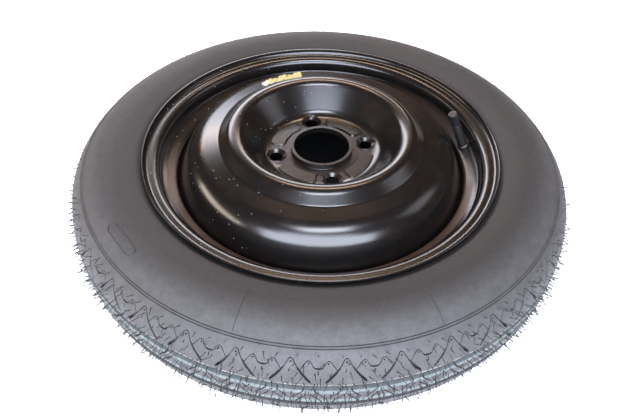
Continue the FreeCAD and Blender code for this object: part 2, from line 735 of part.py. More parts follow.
# The valve stands square on the middle of the well's upper wall, on its outer face.
wall_run = d["bead_seat_radius"] - d["bead_seat_drop"] - d["well_radius"]
valve_lean = math.degrees(math.atan2(d["well_wall_drop"].value, wall_run.value))
turn = Rotation(Vector(0, 0, 1), d["valve_turn"].value) * Rotation(Vector(0, 1, 0), -valve_lean)
wall_middle = Vector(
    (d["bead_seat_radius"] - d["bead_seat_drop"] + d["well_radius"]).value / 2 - d["rim_gauge"].value / 2,
    0,
    (well_edge - d["well_wall_drop"] / 2 - d["mounting_height"]).value,
)
wall_middle = Rotation(Vector(0, 0, 1), d["valve_turn"].value).multVec(wall_middle)
valve_frame = Placement(wall_middle + turn.multVec(Vector(0, 0, d["rim_gauge"].value / 2)), turn)

pieces = [settle(make()) for make in (make_rim, make_disc, make_welds, make_tyre, make_label)] + make_valve()
doc.recompute()
check(pieces)
os.makedirs("parts", exist_ok=True)
for piece in pieces:
    piece.Shape.exportStep(os.path.join("parts", piece.Label + ".step"))
    solids = len(piece.Shape.Solids)
    print(f"{piece.Label}: {solids} solid(s), {piece.Shape.Volume / 1000:.2f} cm3")
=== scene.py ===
import json
import math

import bmesh
import bpy
import numpy as np
from mathutils import Matrix, Vector, geometry


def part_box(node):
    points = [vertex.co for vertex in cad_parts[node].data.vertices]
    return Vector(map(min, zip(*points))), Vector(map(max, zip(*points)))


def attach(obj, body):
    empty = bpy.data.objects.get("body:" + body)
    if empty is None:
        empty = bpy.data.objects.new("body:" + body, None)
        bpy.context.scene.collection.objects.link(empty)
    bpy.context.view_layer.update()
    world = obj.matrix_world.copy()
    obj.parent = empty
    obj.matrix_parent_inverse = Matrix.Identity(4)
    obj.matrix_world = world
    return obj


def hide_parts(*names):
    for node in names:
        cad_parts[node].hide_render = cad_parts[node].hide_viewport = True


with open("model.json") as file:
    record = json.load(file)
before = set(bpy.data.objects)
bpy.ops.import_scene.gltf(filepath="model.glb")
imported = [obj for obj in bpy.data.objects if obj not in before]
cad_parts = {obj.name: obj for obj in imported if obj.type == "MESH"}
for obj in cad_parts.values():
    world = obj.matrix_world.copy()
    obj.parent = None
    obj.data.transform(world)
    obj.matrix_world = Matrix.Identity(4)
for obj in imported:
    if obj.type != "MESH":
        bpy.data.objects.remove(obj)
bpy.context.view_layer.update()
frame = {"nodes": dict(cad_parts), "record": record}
nodes = frame["nodes"]
mm = 0.001
tyreLow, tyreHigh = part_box("tyre")
midPlane = (tyreLow.z + tyreHigh.z) / 2  # the wheel's centre plane; profile heights below start from it
print("frame loaded, centre plane at", round(midPlane, 5))


def linear(hexColour):
    channels = [int(hexColour[i:i + 2], 16) / 255 for i in (1, 3, 5)]
    return [c / 12.92 if c <= 0.04045 else ((c + 0.055) / 1.055) ** 2.4 for c in channels] + [1.0]


def addNode(tree, kind, inputs=None, **settings):
    node = tree.nodes.new(kind)
    for name, value in settings.items():
        setattr(node, name, value)
    for name, value in (inputs or {}).items():  # by name or number; a node stands for its first live output
        if isinstance(value, bpy.types.Node):
            value = next(socket for socket in value.outputs if socket.enabled)
        if isinstance(value, bpy.types.NodeSocket):
            tree.links.new(value, node.inputs[name])
        else:
            node.inputs[name].default_value = value
    return node


def newMaterial(name):
    material = bpy.data.materials.new(name)
    material.use_nodes = True
    material.node_tree.nodes.clear()
    return material, material.node_tree, addNode(material.node_tree, "ShaderNodeTexCoord").outputs["Object"]


def perMillimetre(size):
    return 1000.0 / size  # texture scale for a pattern of that size in mm


# Gloss black electro-dip paint on pressed steel: deep black with sharp reflections, brown dust where hands and water
# don't reach, brown in the rim's well that is partly a painted warm reflection, painted stronger on the near side, and
# a few pale specks on the left.
# The orange peel is drawn coarser than the real one, so that it shows.
paintLook = {
    "colour": "#090808", "dustAndReflection": "#5a463b", "speck": "#b9b6ae", "roughness": 0.22, "dustRoughness": 0.45,
    "orangePeel": 6.0, "peelDepth": 0.012, "dustPatch": 16.0, "brownEdge": 2.5, "film": 0.05, "leastDustAndReflection": 0.45,
    "farDustAndReflection": 0.12, "farFrom": 0.03, "nearFrom": -0.05, "speckSpacing": 4.8, "speckShare": 0.3, "speckSize": 0.06,
    "speckFade": 0.13, "speckStrength": 0.55, "speckRight": 0.03, "speckLeft": -0.10,
    "dustAndReflectionOn": {"Disc": (30.0, 66.0, 0.1), "Rim": (172.0, 179.0, 0.6)},  # radii from and to in mm, and share
}


def makePaint(part):
    s = paintLook
    brownFrom, brownTo, dustAndReflectionPeak = s["dustAndReflectionOn"][part]
    material, tree, place = newMaterial("blackDipPaint" + part)
    axes = addNode(tree, "ShaderNodeSeparateXYZ", {0: place}).outputs
    flat = addNode(tree, "ShaderNodeCombineXYZ", {"X": axes["X"], "Y": axes["Y"]})
    radius = addNode(tree, "ShaderNodeVectorMath", {0: flat}, operation="LENGTH")
    patch = addNode(tree, "ShaderNodeTexNoise", {"Vector": place, "Scale": perMillimetre(s["dustPatch"]),
                                                 "Detail": 6.0, "Roughness": 0.65})
    begins = addNode(tree, "ShaderNodeMapRange", {0: radius, 1: (brownFrom - s["brownEdge"]) * mm, 2: brownFrom * mm})
    ends = addNode(tree, "ShaderNodeMapRange", {0: radius, 1: brownTo * mm, 2: (brownTo + s["brownEdge"]) * mm,
                                                3: 1.0, 4: 0.0})
    within = addNode(tree, "ShaderNodeMath", {0: begins, 1: ends}, operation="MULTIPLY")
    patchy = addNode(tree, "ShaderNodeMapRange", {0: patch, 1: 0.3, 2: 0.7, 3: dustAndReflectionPeak * s["leastDustAndReflection"],
                                                  4: dustAndReflectionPeak})
    dustAndReflectionShare = addNode(tree, "ShaderNodeMath", {0: within, 1: patchy}, operation="MULTIPLY")
    # Painted reflection: the brown is painted stronger on the near side, where the warm surroundings are seen reflected
    # in the rim's well.
    near = addNode(tree, "ShaderNodeMapRange", {0: axes["Y"], 1: s["farFrom"], 2: s["nearFrom"], 3: s["farDustAndReflection"],
                                                4: 1.0})  # more of the dust and of the painted warm reflection on the near side
    dustAndReflectionShare = addNode(tree, "ShaderNodeMath", {0: dustAndReflectionShare, 1: near}, operation="MULTIPLY")
    film = addNode(tree, "ShaderNodeMapRange", {0: patch, 1: 0.5, 2: 0.8, 4: s["film"]})
    dustFilmAndReflection = addNode(tree, "ShaderNodeMath", {0: film, 1: dustAndReflectionShare}, operation="MAXIMUM")
    colour = addNode(tree, "ShaderNodeMix", {0: dustFilmAndReflection, 6: linear(s["colour"]), 7: linear(s["dustAndReflection"])},
                     data_type="RGBA")
    speck = addNode(tree, "ShaderNodeTexVoronoi", {"Vector": place, "Scale": perMillimetre(s["speckSpacing"])})
    dot = addNode(tree, "ShaderNodeMapRange", {0: speck, 1: s["speckSize"], 2: s["speckFade"], 3: 1.0, 4: 0.0})
    chance = addNode(tree, "ShaderNodeSeparateColor", {0: speck.outputs["Color"]})
    kept = addNode(tree, "ShaderNodeMapRange", {0: chance, 1: 1.0 - s["speckShare"], 2: 1.01 - s["speckShare"]})
    left = addNode(tree, "ShaderNodeMapRange", {0: axes["X"], 1: s["speckRight"], 2: s["speckLeft"],
                                                4: s["speckStrength"]})
    dots = addNode(tree, "ShaderNodeMath", {0: dot, 1: kept}, operation="MULTIPLY")
    dots = addNode(tree, "ShaderNodeMath", {0: dots, 1: left}, operation="MULTIPLY")
    colour = addNode(tree, "ShaderNodeMix", {0: dots, 6: colour, 7: linear(s["speck"])}, data_type="RGBA")
    rough = addNode(tree, "ShaderNodeMath", {0: dustAndReflectionShare, 1: s["dustRoughness"], 2: s["roughness"]},
                    operation="MULTIPLY_ADD")
    peel = addNode(tree, "ShaderNodeTexNoise", {"Vector": place, "Scale": perMillimetre(s["orangePeel"]),
                                                "Detail": 2.0})
    bump = addNode(tree, "ShaderNodeBump", {"Height": peel, "Strength": 1.0, "Distance": s["peelDepth"] * mm})
    shader = addNode(tree, "ShaderNodeBsdfPrincipled", {"Base Color": colour, "Roughness": rough, "Normal": bump})
    addNode(tree, "ShaderNodeOutputMaterial", {"Surface": shader})
    return material


# Moulded tyre rubber: dark grey and satin, with a faint brown bloom, a tread painted paler as painted light, what is
# left of a painted stripe and a painted highlight along the upper groove's edge. The grain is drawn coarser than the
# mould's, so that it shows.
rubberLook = {
    # The edge colour is a painted highlight: a pale line along the upper groove's edge.
    "colour": "#111112", "bloom": "#1b1816", "paintedTreadLight": "#343333", "stripe": "#6f7b7b", "edge": "#a2948f",
    "soiled": "#0b0b0b", "mottle": 9.0, "grain": 1.6, "grainDepth": 0.08, "bloomPatch": 70.0, "bloomShare": 0.6,
    "ragged": 12.0, "stripeFrom": 5.0, "stripeTo": 10.5, "stripeShare": 0.42, "stripeWander": 1.2, "stripeSoft": 0.6,
    "stripeEnd": (0.1, 0.3), "paintedLightTo": 70.0,
    "wallFrom": 98.0, "soiledShare": 0.45, "highlightFrom": 17.8, "highlightTo": 18.3, "highlightSoft": 0.25, "highlightShares": (0.1, 0.7),
    "roughness": (0.6, 0.76),
}


def makeRubber():
    s = rubberLook
    material, tree, place = newMaterial("mouldedTyreRubber")
    patch = addNode(tree, "ShaderNodeTexNoise", {"Vector": place, "Scale": perMillimetre(s["bloomPatch"]),
                                                 "Detail": 4.0})
    bloom = addNode(tree, "ShaderNodeMapRange", {0: patch, 1: 0.42, 2: 0.72, 4: s["bloomShare"]})
    colour = addNode(tree, "ShaderNodeMix", {0: bloom, 6: linear(s["colour"]), 7: linear(s["bloom"])},
                     data_type="RGBA")
    run = addNode(tree, "ShaderNodeAttribute", attribute_name="treadRun").outputs["Fac"]  # mm from the crown
    away = addNode(tree, "ShaderNodeMath", {0: run}, operation="ABSOLUTE")
    ragged = addNode(tree, "ShaderNodeTexNoise", {"Vector": place, "Scale": perMillimetre(s["ragged"]),
                                                  "Detail": 3.0})
    shift = addNode(tree, "ShaderNodeMapRange", {0: ragged, 1: 0.3, 2: 0.7, 3: -s["stripeWander"],
                                                 4: s["stripeWander"]})
    moved = addNode(tree, "ShaderNodeMath", {0: away, 1: shift}, operation="ADD")
    begins = addNode(tree, "ShaderNodeMapRange", {0: moved, 1: s["stripeFrom"] - s["stripeSoft"],
                                                  2: s["stripeFrom"] + s["stripeSoft"]})
    ends = addNode(tree, "ShaderNodeMapRange", {0: away, 1: s["stripeTo"] - s["stripeEnd"][0],
                                                2: s["stripeTo"] + s["stripeEnd"][1], 3: 1.0, 4: 0.0})
    stripe = addNode(tree, "ShaderNodeMath", {0: begins, 1: ends}, operation="MULTIPLY")
    stripe = addNode(tree, "ShaderNodeMath", {0: stripe, 1: s["stripeShare"]}, operation="MULTIPLY")
    # Painted light: the tread is painted paler than the sidewall, which is the same rubber, for the light that falls on
    # it from the front and the floor.
    paintedTreadLight = addNode(tree, "ShaderNodeMapRange", {0: away, 1: s["paintedLightTo"], 2: s["wallFrom"], 3: 1.0, 4: 0.0})
    mottle = addNode(tree, "ShaderNodeTexNoise", {"Vector": place, "Scale": perMillimetre(s["mottle"]),
                                                  "Detail": 8.0, "Roughness": 0.7})
    soiled = addNode(tree, "ShaderNodeMapRange", {0: mottle, 1: 0.35, 2: 0.65, 4: s["soiledShare"]})
    # Painted highlight: a pale ragged line on the land along the upper groove's edge, on the upper side only.
    above = addNode(tree, "ShaderNodeMapRange", {0: run, 1: s["highlightFrom"] - s["highlightSoft"], 2: s["highlightFrom"]})
    below = addNode(tree, "ShaderNodeMapRange", {0: run, 1: s["highlightTo"], 2: s["highlightTo"] + s["highlightSoft"],
                                                 3: 1.0, 4: 0.0})
    broken = addNode(tree, "ShaderNodeMapRange", {0: ragged, 1: 0.4, 2: 0.6, 3: s["highlightShares"][0],
                                                  4: s["highlightShares"][1]})
    line = addNode(tree, "ShaderNodeMath", {0: above, 1: below}, operation="MULTIPLY")
    line = addNode(tree, "ShaderNodeMath", {0: line, 1: broken}, operation="MULTIPLY")
    for share, name in ((paintedTreadLight, "paintedTreadLight"), (stripe, "stripe"), (soiled, "soiled"), (line, "edge")):
        colour = addNode(tree, "ShaderNodeMix", {0: share, 6: colour, 7: linear(s[name])}, data_type="RGBA")
    grain = addNode(tree, "ShaderNodeTexNoise", {"Vector": place, "Scale": perMillimetre(s["grain"]), "Detail": 3.0})
    rough = addNode(tree, "ShaderNodeMapRange", {0: grain, 1: 0.3, 2: 0.7, 3: s["roughness"][0],
                                                 4: s["roughness"][1]})
    bump = addNode(tree, "ShaderNodeBump", {"Height": grain, "Strength": 1.0, "Distance": s["grainDepth"] * mm})
    shader = addNode(tree, "ShaderNodeBsdfPrincipled", {"Base Color": colour, "Roughness": rough, "Normal": bump})
    addNode(tree, "ShaderNodeOutputMaterial", {"Surface": shader})
    return material


# Small finishes: colour, roughness, metallic, and the size in mm of a faint mottle, coarse enough to show.
smallLooks = {
    "mouldedBlackPlastic": ("#111112", 0.26, 0.0, 0.9),  # shiny black with soft streaks of light
    "mouldedBlackRubber": ("#121212", 0.42, 0.0, 1.2),  # black, duller than the cap
    "whiskerRubberPaintedLit": ("#232222", 0.45, 0.0, 1.2),  # whiskers: the tyre's rubber painted paler, as painted light for the light the thin whiskers catch
    "turnedBrass": ("#b08d4a", 0.32, 1.0, 0.5),  # warm yellow metal
    "brightSpringWire": ("#a3a3a3", 0.28, 1.0, 0.5),  # clean grey metal
    "redSealPlastic": ("#a8432e", 0.5, 0.0, 0.8),  # dull red ring
    "yellowPrintedPaper": ("#c49a1e", 0.55, 0.0, 2.5),  # flat yellow, on the plain label under the torn one
}
smallMottle = {"shade": 0.72, "height": 0.03, "smoother": 0.06, "rougher": 0.08}  # dark end as a share, height in mm


def makeSmall(name):
    colour, rough, metal, grain = smallLooks[name]
    material, tree, place = newMaterial(name)
    noise = addNode(tree, "ShaderNodeTexNoise", {"Vector": place, "Scale": perMillimetre(grain), "Detail": 4.0})
    darker = [c * smallMottle["shade"] for c in linear(colour)[:3]] + [1.0]
    mottled = addNode(tree, "ShaderNodeMix", {0: noise, 6: darker, 7: linear(colour)}, data_type="RGBA")
    uneven = addNode(tree, "ShaderNodeMapRange", {0: noise, 1: 0.3, 2: 0.7, 3: rough - smallMottle["smoother"],
                                                  4: rough + smallMottle["rougher"]})
    bump = addNode(tree, "ShaderNodeBump", {"Height": noise, "Strength": 1.0, "Distance": smallMottle["height"] * mm})
    shader = addNode(tree, "ShaderNodeBsdfPrincipled", {"Base Color": mottled, "Roughness": uneven, "Normal": bump,
                                                        "Metallic": metal})
    addNode(tree, "ShaderNodeOutputMaterial", {"Surface": shader})
    return material


paint = makePaint("Disc")
rimPaint = makePaint("Rim")
rubber = makeRubber()
small = {name: makeSmall(name) for name in smallLooks}
slotLooks = {
    "wheel_paint": paint,
    "tyre_rubber": rubber,
    "valve_rubber": small["mouldedBlackRubber"],
    "valve_brass": small["turnedBrass"],
    "core_seal_plastic": small["redSealPlastic"],
    "spring_steel": small["brightSpringWire"],
    "cap_plastic": small["mouldedBlackPlastic"],
    "label_film": small["yellowPrintedPaper"],
}
for part in frame["record"]["subparts"]:
    mesh = nodes[part["node"]].data
    mesh.materials.clear()
    mesh.materials.append(slotLooks[part["material_slot"]])
print("materials made")


def turnedLeft(vector):
    return np.array((-vector[1], vector[0]))


def bentLine(corners, turnStep=7.0):
    # Corners (across, up, bend radius): returns points along the line and the direction at each.
    spots = [np.array(c[:2], float) for c in corners]
    runs = [(b - a) / np.linalg.norm(b - a) for a, b in zip(spots, spots[1:])]
    points, ways = [spots[0]], [runs[0]]
    for i in range(1, len(spots) - 1):
        before, after = runs[i - 1], runs[i]
        turn = math.atan2(before[0] * after[1] - before[1] * after[0], float(before @ after))
        bend = corners[i][2] if len(corners[i]) > 2 else 0.0
        if bend == 0.0:
            points += [spots[i], spots[i]]
            ways += [before, after]
            continue
        start = spots[i] - before * bend * math.tan(abs(turn) / 2)
        centre = start + turnedLeft(before) * math.copysign(bend, turn)
        steps = max(2, math.ceil(abs(math.degrees(turn)) / turnStep))
        for k in range(steps + 1):
            angle = turn * k / steps
            spin = np.array(((math.cos(angle), -math.sin(angle)), (math.sin(angle), math.cos(angle))))
            points.append(centre + spin @ (start - centre))
            ways.append(spin @ before)
    return points + [spots[-1]], ways + [runs[-1]]


def roundEnd(point, way, half, steps=5):
    # Half circle over the end of a sheet, from its left side to its right.
    side = turnedLeft(way) * half
    return [point + side * math.cos(math.pi * k / steps) + way * half * math.sin(math.pi * k / steps)
            for k in range(1, steps)]


def atAngles(count):
    turns = np.arange(count) * 2 * math.pi / count
    return np.cos(turns), np.sin(turns)


def arcAngles(start, sweep, step=15):
    return [math.radians(a) for a in range(start, start + sweep + 1, step)]


def spunGrid(outline, count):
    across = np.array([p[0] for p in outline])
    up = np.array([p[1] for p in outline])
    cosines, sines = atAngles(count)
    grid = np.empty((count, len(outline), 3))
    grid[:, :, 0] = cosines[:, None] * across[None, :]
    grid[:, :, 1] = sines[:, None] * across[None, :]
    grid[:, :, 2] = up[None, :]
    return grid.reshape(-1, 3)


def spunFaces(length, count, closed):
    faces = []
    for i in range(count):
        here, there = i * length, (i + 1) % count * length
        for j in range(length if closed else length - 1):
            k = (j + 1) % length
            faces.append((here + j, there + j, there + k, here + k))
    return faces


mergeWithin = 0.002  # mm between points that are one


def finishedPiece(name, vertices, faces, material, sharp=35.0, attributes=None):
    # Vertices in mm above the centre plane become a closed mesh in the row frame.
    mesh = bpy.data.meshes.new(name)
    placed = np.array(vertices) * mm + np.array((0.0, 0.0, midPlane))
    mesh.from_pydata(placed.tolist(), [], faces)
    for key, values in (attributes or {}).items():
        layer = mesh.attributes.new(key, "FLOAT", "POINT")
        layer.data.foreach_set("value", np.array(values, np.float32))
    work = bmesh.new()
    work.from_mesh(mesh)
    bmesh.ops.remove_doubles(work, verts=work.verts, dist=mergeWithin * mm)
    bmesh.ops.recalc_face_normals(work, faces=work.faces)
    work.to_mesh(mesh)
    work.free()
    mesh.materials.append(material)
    mesh.shade_smooth()
    mesh.set_sharp_from_angle(angle=math.radians(sharp))
    piece = bpy.data.objects.new(name, mesh)
    bpy.context.scene.collection.objects.link(piece)
    return piece


def standFor(piece, node):
    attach(piece, "wheel")
    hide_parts(node)
    print(piece.name, "has", sum(len(p.vertices) - 2 for p in piece.data.polygons), "triangles")


# Rolled rim: the middle line of its strip, upper half, as across, up and bend.
rimSizes = {"gauge": 2.6, "width": 101.6, "tip": 206.2, "reach": 9.6, "curl": 5.2, "seat": 190.1, "heel": 7.6,
            "seatWidth": 14.8, "seatDrop": 1.2, "well": 172.9, "wallDrop": 7.5, "wellBend": 4.6, "around": 288}


def makeRim():
    s = rimSizes
    half = s["gauge"] / 2
    face = s["width"] / 2
    edge = face - s["seatWidth"]
    upper = [
        (s["tip"] - half, face + s["reach"] - half),
        (s["tip"] - half, face + half, s["curl"] + half),
        (s["seat"] - half, face + half, s["heel"]),
        (s["seat"] - s["seatDrop"] - half, edge, s["wellBend"]),
        (s["well"] - half, edge - s["wallDrop"], s["wellBend"]),
    ]
    line = upper + [(c[0], -c[1], *c[2:]) for c in reversed(upper)]
    points, ways = bentLine(line)
    left = [p + turnedLeft(w) * half for p, w in zip(points, ways)]
    right = [p - turnedLeft(w) * half for p, w in zip(points, ways)]
    outline = left + roundEnd(points[-1], ways[-1], half) + right[::-1] + roundEnd(points[0], -ways[0], half)
    vertices = spunGrid(outline, s["around"])
    piece = finishedPiece("rolledRim", vertices, spunFaces(len(outline), s["around"], True), rimPaint)
    standFor(piece, "wheel_rim")


makeRim()


# Pressed disc: middle line of the sheet from the collar's top to the skirt's end, as across, up and bend.
discSizes = {
    "gauge": 3.6, "around": 288, "collarTop": 54.4,
    "line": [(34.35, 46.2, 2.6), (67.0, 46.2, 20.0), (99.0, 84.2, 12.5), (117.5, 68.4, 9.0), (148.0, 62.2, 30.0),
             (168.45, 21.0, 16.0), (168.45, 3.8)],
    "boltCircle": 54.0, "boltTurn": 14.7, "boltCount": 4, "holeRadius": 7.25, "lipWidth": 1.8, "lipRise": 0.6,
    "seatRadius": 10.4, "seatDepth": 2.1, "bendRings": (57.7, 59.2, 60.7, 62.2, 63.7, 65.2),
    "padMiddle": 52.75, "padHalfWidth": 9.75, "padSweep": 52.0, "padRise": 1.5, "padSlope": 1.8, "padCorner": 5.5,
    "padStep": 2.5, "padCornerLeast": 0.6, "slopeRings": 4, "holeSides": 48, "turnStep": 5.0, "sharp": 24.0,
}


def ring(radius, count, centre=(0.0, 0.0)):
    cosines, sines = atAngles(count)
    return np.stack((centre[0] + radius * cosines, centre[1] + radius * sines), 1)


def triangulated(loops, spots):
    # Delaunay triangles through closed loops and loose spots of a plane.
    points, edges = [], []
    for loop in loops:
        start = len(points)
        points += [Vector(p) for p in loop]
        edges += [(start + i, start + (i + 1) % len(loop)) for i in range(len(loop))]
    points += [Vector(p) for p in spots]
    found = geometry.delaunay_2d_cdt(points, edges, [], 0, 1e-5)
    return np.array([tuple(p) for p in found[0]]), np.array([tuple(t) for t in found[2] if len(t) == 3])


def boltPlaces():
    s = discSizes
    turns = [math.radians(s["boltTurn"] + 360.0 * k / s["boltCount"]) for k in range(s["boltCount"])]
    return [(s["boltCircle"] * math.cos(t), s["boltCircle"] * math.sin(t)) for t in turns], turns


def padLoop(turn, inset):
    # Rounded outline of one raised pad, drawn along the bolt circle and moved in by an inset.
    s = discSizes
    corner = max(s["padCorner"] - inset, s["padCornerLeast"])
    wide = s["padMiddle"] * math.radians(s["padSweep"]) / 2 - inset
    high = s["padHalfWidth"] - inset
    outline = []
    for side, up, start in ((1, 1, 0), (-1, 1, 90), (-1, -1, 180), (1, -1, 270)):
        for angle in arcAngles(start, 90):
            outline.append((side * (wide - corner) + corner * math.cos(angle),
                            up * (high - corner) + corner * math.sin(angle)))
    dense = []
    for a, b in zip(outline, outline[1:] + outline[:1]):
        steps = max(1, int(math.dist(a, b) / s["padStep"]))
        dense += [(a[0] + (b[0] - a[0]) * k / steps, a[1] + (b[1] - a[1]) * k / steps) for k in range(steps)]
    placed = []
    for along, up in dense:
        angle = turn + along / s["padMiddle"]
        placed.append(((s["padMiddle"] + up) * math.cos(angle), (s["padMiddle"] + up) * math.sin(angle)))
    return np.array(placed)


def padHeight(points, turns):
    s = discSizes
    radius = np.hypot(points[:, 0], points[:, 1])
    angle = np.arctan2(points[:, 1], points[:, 0])
    raised = np.zeros(len(points))
    for turn in turns:
        off = (angle - turn + math.pi) % (2 * math.pi) - math.pi
        along = np.abs(off * s["padMiddle"]) - s["padMiddle"] * math.radians(s["padSweep"]) / 2 + s["padCorner"]
        up = np.abs(radius - s["padMiddle"]) - s["padHalfWidth"] + s["padCorner"]
        outside = np.hypot(np.maximum(along, 0), np.maximum(up, 0))
        away = outside + np.minimum(np.maximum(along, up), 0) - s["padCorner"]
        share = np.clip(-away / s["padSlope"], 0, 1)
        raised = np.maximum(raised, s["padRise"] * share * share * (3 - 2 * share))
    return raised


def boltFacePatch(profile, seats):
    # One side of the bolt face, from the collar into the bowl's bend, with pads, holes and, on top, coined seats.
    s = discSizes
    profile = np.array(profile)
    inner, outer, level = profile[0, 0], profile[-1, 0], profile[0, 1]
    holes, turns = boltPlaces()
    middles = [t + math.pi / s["boltCount"] for t in turns]
    rings = s["slopeRings"]
    loops = [ring(radius, s["around"]) for radius in (inner, *s["bendRings"], outer)]
    for turn in middles:
        loops += [padLoop(turn, s["padSlope"] * k / rings) for k in range(rings + 1)]
    for place in holes:
        loops.append(ring(s["holeRadius"], s["holeSides"], place))
        if seats:
            loops += [ring(s["seatRadius"] + s["lipWidth"] * k / rings, s["holeSides"], place)
                      for k in range(-1, rings + 1)]
    points, triangles = triangulated(loops, [])
    sheet = np.interp(np.hypot(points[:, 0], points[:, 1]), profile[:, 0], profile[:, 1])
    height = np.maximum(sheet, level + padHeight(points, middles))
    centres = points[triangles].mean(1)
    radius = np.hypot(centres[:, 0], centres[:, 1])
    kept = (radius > inner * 0.9999) & (radius < outer)
    edges = []
    sides = s["holeRadius"] * np.array((0.995, 0.9965, 1.0005))  # a hole's polygon runs just inside its circle
    for place in holes:
        away = np.hypot(points[:, 0] - place[0], points[:, 1] - place[1])
        if seats:
            depth = np.clip((s["seatRadius"] - away) / (s["seatRadius"] - s["holeRadius"]), 0, 1)
            lip = s["lipRise"] * np.sin(math.pi * np.clip((away - s["seatRadius"]) / s["lipWidth"], 0, 1))
            height = np.where(away < s["seatRadius"] + 0.1, level - s["seatDepth"] * depth, height + lip)
        kept &= np.hypot(centres[:, 0] - place[0], centres[:, 1] - place[1]) > sides[0]
        edge = np.flatnonzero((away > sides[1]) & (away < sides[2]))
        edges.append(sorted(edge, key=lambda i: math.atan2(points[i, 1] - place[1], points[i, 0] - place[0])))
    return np.column_stack((points, height)), triangles[kept], edges


def makeDisc():
    s = discSizes
    half = s["gauge"] / 2
    points, ways = bentLine([(s["line"][0][0], s["collarTop"])] + s["line"], s["turnStep"])
    top = [p + turnedLeft(w) * half for p, w in zip(points, ways)]
    back = [p - turnedLeft(w) * half for p, w in zip(points, ways)]
    flat = next(i for i in range(len(points) - 1) if ways[i][0] > 0.9999 and ways[i + 1][0] > 0.9999)
    reach = s["boltCircle"] + s["seatRadius"] + s["lipWidth"]
    bend = next(i for i in range(len(points)) if top[i][0] > reach)  # where the bowl's bend has passed the seats
    collar = back[:flat + 1][::-1] + top[:flat + 1]
    bowl = top[bend:] + roundEnd(points[-1], ways[-1], half) + back[bend:][::-1]
    vertices, faces = [], []
    for strip in (collar, bowl):
        start = len(vertices)
        vertices += spunGrid(strip, s["around"]).tolist()
        faces += [tuple(start + i for i in f) for f in spunFaces(len(strip), s["around"], False)]
    rims = []
    for side, seats in ((top, True), (back, False)):
        start = len(vertices)
        patch, triangles, edges = boltFacePatch(side[flat:bend + 1], seats)
        vertices += patch.tolist()
        faces += [tuple(int(start + i) for i in t) for t in triangles]
        rims.append([[int(start + i) for i in edge] for edge in edges])
    for upper, lower in zip(*rims):
        faces += [(upper[i - 1], upper[i], lower[i], lower[i - 1]) for i in range(len(upper))]
    standFor(finishedPiece("pressedDisc", vertices, faces, paint, s["sharp"]), "wheel_disc")


makeDisc()


# Tyre: half of its outer line from the bead to the crown, and half of its liner, as across, up and bend.
tyreSizes = {
    "around": 360, "pitches": 36, "ribPitches": 54, "chevronTurn": 266.0, "ribTurn": 269.4,
    "crown": [(190.35, 50.55, 6.3), (201.15, 50.55, 8.0), (212.0, 58.2, 16.0), (246.0, 67.2, 52.0),
              (275.5, 48.0, 26.0), (285.0, 35.0, 30.0), (289.3, 14.2, 50.0), (289.3, 0.0)],
    "liner": [(190.35, 37.15), (198.5, 37.6), (214.0, 51.4), (243.0, 58.4, 55.0), (275.0, 38.0, 18.0),
              (275.0, 0.0)],
    "treadEdge": 53.0, "grooveLow": 10.4, "grooveHigh": 17.8, "grooveDepth": 6.5, "lineStep": 2.5,
    "ridges": (55.4, 57.8), "ridgeHeight": 0.5, "ridgeWidth": 0.55, "rowStep": 3.6, "rowsFrom": 3.5, "rowsTo": 2.0,
    "ridgeShape": ((-1.0, 0.0), (-0.45, 1.0), (0.45, 1.0), (1.0, 0.0)), "linerStep": 9.0, "sharp": 38.0,
}
wallRunEnd = 99.0  # run in mm given to what lies past the tread's colours

# Tread marks in one pitch: path of (along, run) points in mm, width at each point, depth.
arch = [(-6.2, 38.4), (-4.0, 42.4), (-2.6, 45.2), (-1.4, 46.9), (0.0, 47.5), (1.4, 46.9), (2.6, 45.2), (4.0, 42.4),
        (6.2, 38.4)]
leg = [(5.6, 39.4), (7.0, 37.4), (11.0, 31.6), (15.6, 25.2), (17.4, 22.8), (18.6, 21.2)]
wave = [(8.6, 36.6), (11.6, 41.0), (13.6, 43.8), (15.2, 45.2), (17.2, 45.3), (18.6, 43.8), (20.0, 40.6),
        (21.6, 38.8), (23.4, 38.3), (25.25, 38.2)]
arm = [(5.0, 10.5), (5.4, 8.4), (10.4, 2.4), (15.6, -3.6)]
legWidths = [0.8, 1.7, 2.6, 2.8, 2.4, 1.2]
armWidths = [2.0, 1.6, 1.3, 1.0]
waveWidths = [0.75] * 7 + [1.2, 1.7, 1.9]
shoulderMarks = [
    (arch, [0.9] * 9, 2.4),
    (leg, legWidths, 4.2),
    ([(-x, y) for x, y in leg], legWidths, 4.2),
    ([(-0.5, 37.8), (-1.3, 34.0)], [0.9, 0.9], 2.4),
    ([(-0.8, 44.0), (0.8, 44.0)], [1.5, 1.5], 2.0),
    (wave, waveWidths, 2.0),
    ([(50.5 - x, y) for x, y in wave], waveWidths, 2.0),
    ([(15.9, 43.0), (17.3, 43.0)], [1.3, 1.3], 2.0),
    ([(33.2, 43.0), (34.6, 43.0)], [1.3, 1.3], 2.0),
    ([(25.3, 36.0), (25.1, 31.4)], [0.9, 0.9], 2.4),
]
ribMarks = [
    (arm, armWidths, 4.0),
    ([(-x, y) for x, y in arm], armWidths, 4.0),
    ([(16.8, -4.6), (16.8, -8.6)], [0.8, 0.8], 2.2),
]


def strokeOutline(path, widths):
    # Closed outline of a groove drawn along a path with a width at each point.
    path = np.array(path, float)
    ways = np.gradient(path, axis=0) if len(path) > 2 else np.repeat(path[1:] - path[:1], 2, axis=0)
    ways /= np.linalg.norm(ways, axis=1)[:, None]
    sides = np.stack((-ways[:, 1], ways[:, 0]), 1) * np.array(widths)[:, None] / 2
    return np.concatenate((path + sides, (path - sides)[::-1]))


def insideOutline(outline, x, y):
    inside = np.zeros(len(x), bool)
    for (ax, ay), (bx, by) in zip(outline, np.roll(outline, -1, axis=0)):
        crosses = (ay > y) != (by > y)
        if crosses.any():
            inside ^= crosses & (x < ax + (y - ay) * (bx - ax) / (by - ay + 1e-12))
    return inside


